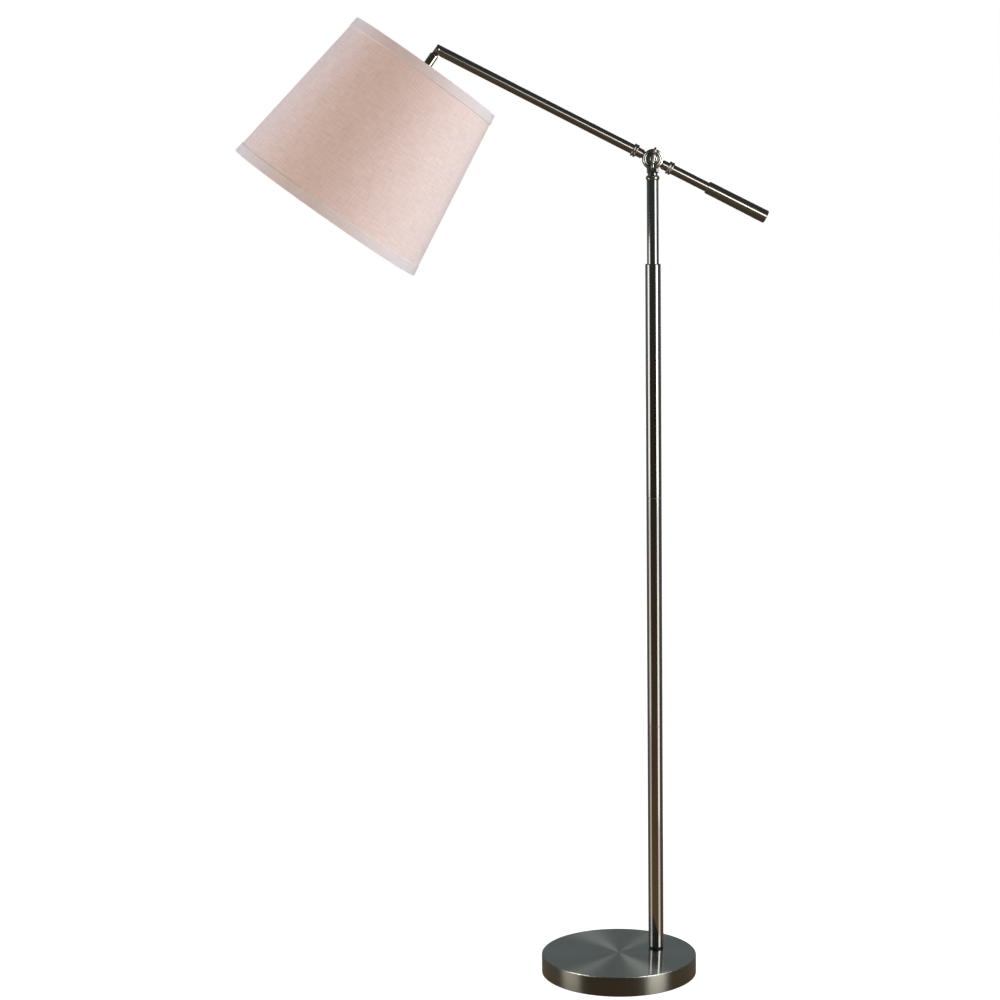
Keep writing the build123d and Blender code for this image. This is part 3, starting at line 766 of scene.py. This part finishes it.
# Room
# To the camera the room is a white backdrop. To the lamp, whose plate mirrors it, it is a dim studio: grey
# behind, darker in front and overhead, brown low down.
front_grey = (0.055, 0.071, 0.069, 1)
front_brown = (0.04, 0.032, 0.023, 1)
behind_grey = (0.175, 0.205, 0.20, 1)
overhead_grey = (0.06, 0.066, 0.062, 1)
low_brown = (0.2, 0.125, 0.066, 1)
steep_brown = (0.1, 0.085, 0.068, 1)
world = bpy.data.worlds.new("studio")
bpy.context.scene.world = world
world.use_nodes = True
room = Finish(world.node_tree)
way = room.node("TexCoord", {}, {}, "Generated")
way_back = along(room, way, (0, 1, 0))
way_up = along(room, way, (0, 0, 1))
behind = (way_back * 0.9 + 0.45).clamped()
low_down = (way_up * -3.4).clamped() ** 3
high_up = (way_up * 3.0 - 1.35).clamped()
below = (way_up * -12.0).clamped()
steep = (way_up * -3.0 - 1.1).clamped()
front = room.mix(below, front_grey, front_brown)
walls = room.mix(behind, front, behind_grey)
level = room.mix(high_up, walls, overhead_grey)
floor_brown = room.mix(steep, low_brown, steep_brown)
around_lamp = room.mix(low_down, level, floor_brown)
dim = room.node("Background", {}, {"Color": around_lamp, "Strength": 1.0})
white = room.node("Background", {}, {"Color": (1, 1, 1, 1), "Strength": 1.0})
seen = room.node("LightPath", {}, {}, "Is Camera Ray")
shown = room.node("MixShader", {}, {0: seen, 1: dim, 2: white})
room.join(shown, world.node_tree.nodes["World Output"].inputs["Surface"])

# Studio lights
# Soft panels, each kept off what it isn't meant for. Tall ones at both sides and behind give the tubes their
# stripes, two overhead the cross on the base, a row above the camera the boom's stripe, and others light the
# wing key with its ring, the stem and the shade.
up_way = Vector((0, 0, 1))
back_way = Vector((0, 1, 0))
level_way = Vector((1, 0, 0))
white_light = (1, 1, 1)
cream_light = (1, 0.97, 0.92)


def panel(name, centre, aim, long_way, width, height, radiance, colour):
    """Soft area light that faces an aim, with its width along a long way."""
    light = bpy.data.lights.new(name, "AREA")
    light.shape = "RECTANGLE"
    light.size = width
    light.size_y = height
    light.energy = radiance * math.pi * width * height
    light.color = colour
    lamp = bpy.data.objects.new(name, light)
    bpy.context.scene.collection.objects.link(lamp)
    facing = (centre - aim).normalized()
    side = (long_way - facing * long_way.dot(facing)).normalized()
    turn = Matrix((side, facing.cross(side), facing)).transposed()
    lamp.matrix_world = Matrix.Translation(centre) @ turn.to_4x4()
    lamp.visible_camera = False
    return lamp


def flagged(name, pieces, reach):
    """Group of pieces that a light reaches alone, or that it is kept off."""
    group = bpy.data.collections.new(name)
    for piece in pieces:
        group.objects.link(piece)
    for entry in group.collection_objects:
        entry.light_linking.link_state = reach
    return group


inside_shade = (
    "head_nipple",
    "shade_fitter",
    "lock_nut",
    "shade_bottom_ring",
    "shade_liner",
    "holder_cap",
    "holder_shell",
    "switch_block",
    "switch_knob",
    "insulating_sleeve",
    "screw_shell",
    "centre_contact",
    "bulb_cap",
    "bulb_glass",
)
shade_pieces = [linen_cover, linen_lap, bottom_band, top_band] + [nodes[name] for name in inside_shade]
boom_pieces = [nodes[name] for name in boom_names]
for piece in shade_pieces:
    piece.visible_glossy = False
all_but_shade = flagged("all_but_shade", shade_pieces, "EXCLUDE")
shade_alone = flagged("shade_alone", shade_pieces, "INCLUDE")
base_alone = flagged("base_alone", [cover], "INCLUDE")
tubes_alone = flagged("tubes_alone", pole_tubes + [mast] + boom_pieces, "INCLUDE")
boom_alone = flagged("boom_alone", boom_pieces, "INCLUDE")
key_alone = flagged("key_alone", [cheek_ring, nodes["wing_key"]], "INCLUDE")
stem_alone = flagged("stem_alone", [nodes["head_stem"]], "INCLUDE")
panel_distance = 2.6
panel_width = 1.35
left_way = Vector((-0.974, -0.225, 0))
right_way = Vector((0.799, -0.602, 0))
for name, way_out, low, high, radiance in (
    ("left_panel", left_way, 0.47, 1.18, 2.2),
    ("left_low_panel", left_way, -0.18, 0.47, 1.3),
    ("left_floor_glow", left_way, -1.8, -0.18, 0.75),
    ("right_panel", right_way, 0.47, 2.7, 4.2),
    ("right_low_panel", right_way, -0.46, 0.47, 2.0),
    ("right_floor_glow", right_way, -2.0, -0.46, 1.1),
):
    aim = pole_axis + up_way * (low + high) / 2
    centre = aim + way_out * panel_distance
    across_way = way_out.cross(up_way)
    lamp = panel(name, centre, aim, across_way, panel_width, high - low, radiance, white_light)
    lamp.light_linking.receiver_collection = all_but_shade
rear_way = Vector((0.17, 0.985, 0))
rear_rise = 1.0
rear_height = 3.0
rear_width = 0.7
rear_radiance = 2.5
rear_aim = pole_axis + up_way * rear_rise
rear_centre = rear_aim + rear_way * panel_distance
lamp = panel("rear_panel", rear_centre, rear_aim, up_way, rear_height, rear_width, rear_radiance, white_light)
lamp.light_linking.receiver_collection = tubes_alone
overhead_distance = 3.4
overhead_width = 0.8
for name, way_out, radiance in (
    ("overhead_left", Vector((-0.424, 0.265, 0.866)), 33.0),
    ("overhead_right", Vector((0.265, 0.424, 0.866)), 29.0),
):
    centre = pole_axis + way_out * overhead_distance
    lamp = panel(name, centre, pole_axis, back_way, overhead_width, overhead_width, radiance, white_light)
    lamp.data.use_shadow = False
    lamp.light_linking.receiver_collection = base_alone
row_count = 8
row_start = -0.375
row_width = 0.25
row_height = 0.9
row_depth = -3.4
row_rise = 1.8
row_radiance = 1.4
row_slope = 3.6
row_curve = 0.5
for number in range(row_count):
    along_row = row_start + number * row_width
    radiance = row_radiance + row_slope * along_row + row_curve * along_row**2
    centre = Vector((along_row, row_depth, row_rise))
    lamp = panel("front_row", centre, hub, level_way, row_width, row_height, radiance, cream_light)
    lamp.light_linking.receiver_collection = boom_alone
key_width = 2.2
for name, way_out, radiance in (
    ("key_left", Vector((-1.7, -0.9, 0.3)), 1.8),
    ("key_right", Vector((1.7, -0.9, 0.2)), 9.0),
):
    lamp = panel(name, hub + way_out, hub, up_way, key_width, key_width, radiance, white_light)
    lamp.light_linking.receiver_collection = key_alone
stem_way = Vector((1.52, -0.68, -1.1))
stem_width = 0.9
stem_radiance = 6.0
lamp = panel("stem_panel", pin + stem_way, pin, level_way, stem_width, stem_width, stem_radiance, white_light)
lamp.light_linking.receiver_collection = stem_alone
shade_low, shade_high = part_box("shade_cover")
shade_middle = (shade_low + shade_high) / 2
fill_width = 1.8
for name, way_out, radiance, colour in (
    ("front_fill", Vector((0.1, -3.0, 0.1)), 3.5, (1, 0.79, 0.695)),
    ("left_fill", Vector((-2.9, -0.6, 0.2)), 5.0, (1, 0.933, 0.885)),
    ("back_fill", Vector((-2.2, 1.2, 1.6)), 4.0, (0.498, 0.70, 1)),
    ("right_fill", Vector((2.8, -0.6, -0.5)), 8.1, (0.837, 0.909, 1)),
    ("rear_fill", Vector((0.9, 3.0, 0.4)), 3.5, (1, 0.84, 0.74)),
):
    centre = shade_middle + way_out
    lamp = panel(name, centre, shade_middle, back_way, fill_width, fill_width, radiance, colour)
    lamp.visible_glossy = False
    lamp.light_linking.receiver_collection = shade_alone

# Camera
# A camera with a long lens, a little lower than the knuckle and left of the pole. It is tipped down by seven
# degrees and rolled by less than one.
camera_data = bpy.data.cameras.new("camera")
camera_data.sensor_width = 36.0
camera_data.lens = 81.4
camera = bpy.data.objects.new("camera", camera_data)
bpy.context.scene.collection.objects.link(camera)
camera_point = Vector((-0.1864, -3.611, 1.235))
camera_pitch = -0.1235
camera_roll = -0.0129
forward = Vector((0, math.cos(camera_pitch), math.sin(camera_pitch)))
level_up = Vector((0, -math.sin(camera_pitch), math.cos(camera_pitch)))
right = level_way * math.cos(camera_roll) + level_up * math.sin(camera_roll)
up = level_up * math.cos(camera_roll) - level_way * math.sin(camera_roll)
camera_turn = Matrix((right, up, -forward)).transposed().to_4x4()
camera.matrix_world = Matrix.Translation(camera_point) @ camera_turn
bpy.context.scene.camera = camera
bpy.context.scene.view_settings.view_transform = "Standard"
